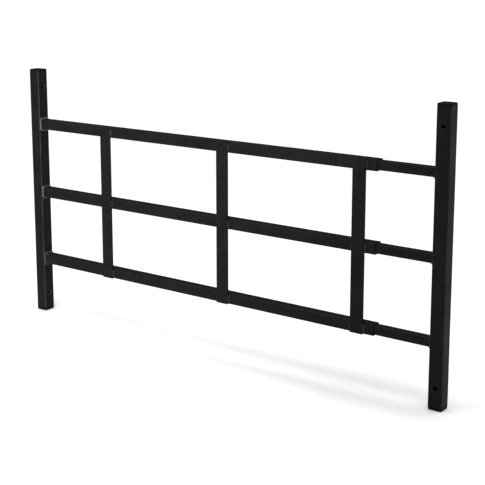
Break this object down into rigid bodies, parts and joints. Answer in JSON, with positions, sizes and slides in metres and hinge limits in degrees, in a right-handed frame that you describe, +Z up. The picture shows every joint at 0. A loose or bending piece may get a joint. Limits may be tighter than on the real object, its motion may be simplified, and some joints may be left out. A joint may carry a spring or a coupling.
{
  "type": "window security bar",
  "caption": "Expandable steel window guard: a grille of level square rails and flat upright bars, with an end post that slides out on smaller tubes to fit the opening's width.",
  "frame": {"origin": "middle of the fixed post's back face, which lies against the wall or window frame", "axes": "+X from the fixed post to the sliding post, -Y towards the room side, +Z up"},
  "size_m": [0.941, 0.0265, 0.508],
  "materials": {
    "post_paint": "black powder coat, satin",
    "grille_paint": "black powder coat, satin",
    "slide_paint": "black powder coat, satin, rubbed by sliding",
    "weld_paint": "black powder coat over rippled weld beads",
    "cap_plastic": "black moulded plastic, fine grain"
  },
  "bodies": {
    "fixed_frame": {"left_post": "post_paint", "left_post_top_cap": "cap_plastic", "left_post_bottom_cap": "cap_plastic", "upper_outer_rail": "grille_paint", "middle_outer_rail": "grille_paint", "lower_outer_rail": "grille_paint", "left_upright_bar": "grille_paint", "centre_upright_bar": "grille_paint", "right_upright_bar": "grille_paint", "upper_rail_weld": "weld_paint", "middle_rail_weld": "weld_paint", "lower_rail_weld": "weld_paint", "left_bar_upper_weld": "weld_paint", "left_bar_middle_weld": "weld_paint", "left_bar_lower_weld": "weld_paint", "centre_bar_upper_weld": "weld_paint", "centre_bar_middle_weld": "weld_paint", "centre_bar_lower_weld": "weld_paint", "right_bar_upper_weld": "weld_paint", "right_bar_middle_weld": "weld_paint", "right_bar_lower_weld": "weld_paint"},
    "sliding_frame": {"right_post": "post_paint", "right_post_top_cap": "cap_plastic", "right_post_bottom_cap": "cap_plastic", "upper_slide_tube": "slide_paint", "middle_slide_tube": "slide_paint", "lower_slide_tube": "slide_paint", "upper_slide_weld": "weld_paint", "middle_slide_weld": "weld_paint", "lower_slide_weld": "weld_paint"}
  },
  "joints": [
    {"name": "width_slide", "type": "slide", "parent": "fixed_frame", "child": "sliding_frame", "axis": [1, 0, 0], "range_m": [-0.098, 0.444]}
  ]
}
